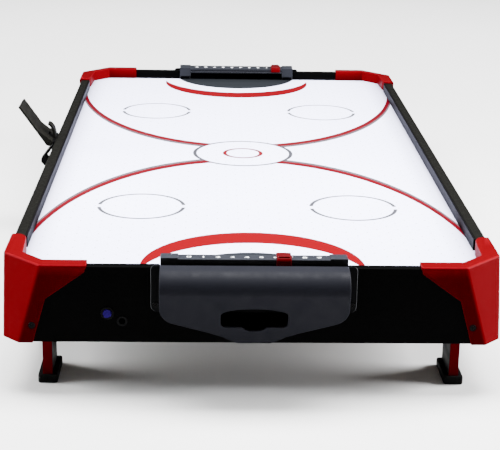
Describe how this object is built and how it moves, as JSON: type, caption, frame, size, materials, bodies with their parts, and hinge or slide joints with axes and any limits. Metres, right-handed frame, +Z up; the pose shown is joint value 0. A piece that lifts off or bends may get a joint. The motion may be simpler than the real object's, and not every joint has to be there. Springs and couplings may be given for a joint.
{
  "type": "table-top air hockey table",
  "caption": "Table-top air hockey table: railed white playing surface on short legs, end goals with puck pockets and sliding scorers, blower underneath.",
  "frame": {"origin": "centre of the floor plane under the four feet", "axes": "+X to the right seen from the front goal, +Y along the table away from the front player, +Z up"},
  "size_m": [0.5587, 1.086, 0.1846],
  "materials": {
    "rail": "dark brown-grey speckled laminate on fibreboard",
    "black_panel": "fibreboard with black laminate",
    "liner": "dark glossy plastic strip",
    "field": "white laminate with printed rings",
    "board": "hardboard",
    "batten": "bare softwood",
    "red": "moulded red",
    "screw": "black screws",
    "leg": "dark grey moulded",
    "red_trim": "red edge channel",
    "pad": "black rubber",
    "steel": "zinc-plated steel",
    "frame": "dark grey moulded",
    "shell": "slate grey moulded",
    "bar": "grey moulded",
    "button": "blue",
    "black": "black moulded",
    "wire": "insulated twin lead",
    "copper": "copper windings on a steel core"
  },
  "bodies": {
    "table": {"side_panel_left": "rail", "side_panel_right": "rail", "end_panel_front": "black_panel", "end_panel_back": "black_panel", "rail_liner_left": "liner", "rail_liner_right": "liner", "playfield": "field", "bottom_panel": "board", "ledge_left": "batten", "ledge_right": "batten", "cross_rib_front": "batten", "cross_rib_back": "batten", "corner_block_fl": "batten", "corner_block_fr": "batten", "corner_block_bl": "batten", "corner_block_br": "batten", "corner_cap_fl": "red", "corner_cap_fr": "red", "corner_cap_bl": "red", "corner_cap_br": "red", "corner_cap_screws": "screw", "leg_fl": "leg", "leg_fr": "leg", "leg_bl": "leg", "leg_br": "leg", "leg_trim_fl": "red_trim", "leg_trim_fr": "red_trim", "leg_trim_bl": "red_trim", "leg_trim_br": "red_trim", "foot_fl": "pad", "foot_fr": "pad", "foot_bl": "pad", "foot_br": "pad", "leg_screws": "steel", "goal_frame_front": "frame", "goal_frame_back": "frame", "goal_shell_front": "shell", "goal_shell_back": "shell", "scorer_bar_front": "bar", "scorer_bar_back": "bar", "goal_screws": "screw", "switch_body": "black", "dc_jack": "black", "jack_nut": "steel", "wire_harness": "wire", "fan_frame": "black", "fan_stator": "copper", "fan_guard": "black", "fan_screws": "steel", "holder_bracket": "black", "holder_pin": "screw", "holder_lip": "black", "holder_screws": "screw"},
    "slider_front": {"scorer_slider_front": "red"},
    "slider_back": {"scorer_slider_back": "red"},
    "button": {"power_button": "button"},
    "rotor": {"fan_rotor": "black", "fan_shaft": "steel"},
    "flap": {"holder_flap": "black"}
  },
  "joints": [
    {"name": "front_scorer_slide", "type": "slide", "parent": "table", "child": "slider_front", "axis": [1, 0, 0], "range_m": [-0.099, 0.039]},
    {"name": "back_scorer_slide", "type": "slide", "parent": "table", "child": "slider_back", "axis": [1, 0, 0], "range_m": [-0.135, 0.003]},
    {"name": "power_button_press", "type": "slide", "parent": "table", "child": "button", "axis": [0, 1, 0], "range_m": [0, 0.0025], "stiffness_N_per_m": 400, "springref_m": -0.001},
    {"name": "fan_spin", "type": "hinge", "parent": "table", "child": "rotor", "pos_m": [0, 0, 0.07], "axis": [0, 0, 1], "continuous": true},
    {"name": "holder_flap_hinge", "type": "hinge", "parent": "table", "child": "flap", "pos_m": [-0.262, 0.025, 0.135], "axis": [0, 1, 0], "range_deg": [-70, 28]}
  ]
}
